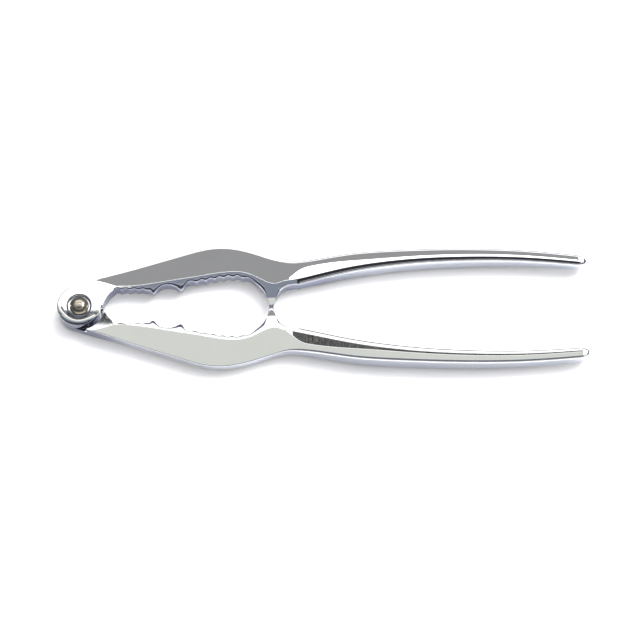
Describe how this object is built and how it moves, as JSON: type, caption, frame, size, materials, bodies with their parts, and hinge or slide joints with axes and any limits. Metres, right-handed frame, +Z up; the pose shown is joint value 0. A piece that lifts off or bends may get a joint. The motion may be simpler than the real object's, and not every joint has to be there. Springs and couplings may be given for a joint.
{
  "type": "nutcracker",
  "caption": "Plier-type lever nutcracker with toothed jaws, stop horns, slim curved handles and a riveted half-lap pivot, chrome plated.",
  "frame": {"origin": "bottom centre of the bounding box, with the nutcracker lying closed on its side", "axes": "+X from the pivot end to the handle tips, +Y towards the upper lever, +Z up, along the pivot axis"},
  "size_m": [0.19, 0.0462, 0.0081],
  "materials": {
    "chrome_plate": "polished plate on a zinc die-casting",
    "rivet_steel": "satin, slightly warm"
  },
  "bodies": {
    "lower": {"lower_lever": "chrome_plate", "pivot_rivet": "rivet_steel"},
    "upper": {"upper_lever": "chrome_plate"}
  },
  "joints": [
    {"name": "lever_pivot", "type": "hinge", "parent": "lower", "child": "upper", "pos_m": [-0.08709, 0, 0.00406], "axis": [0, 0, 1], "range_deg": [0, 210]}
  ]
}
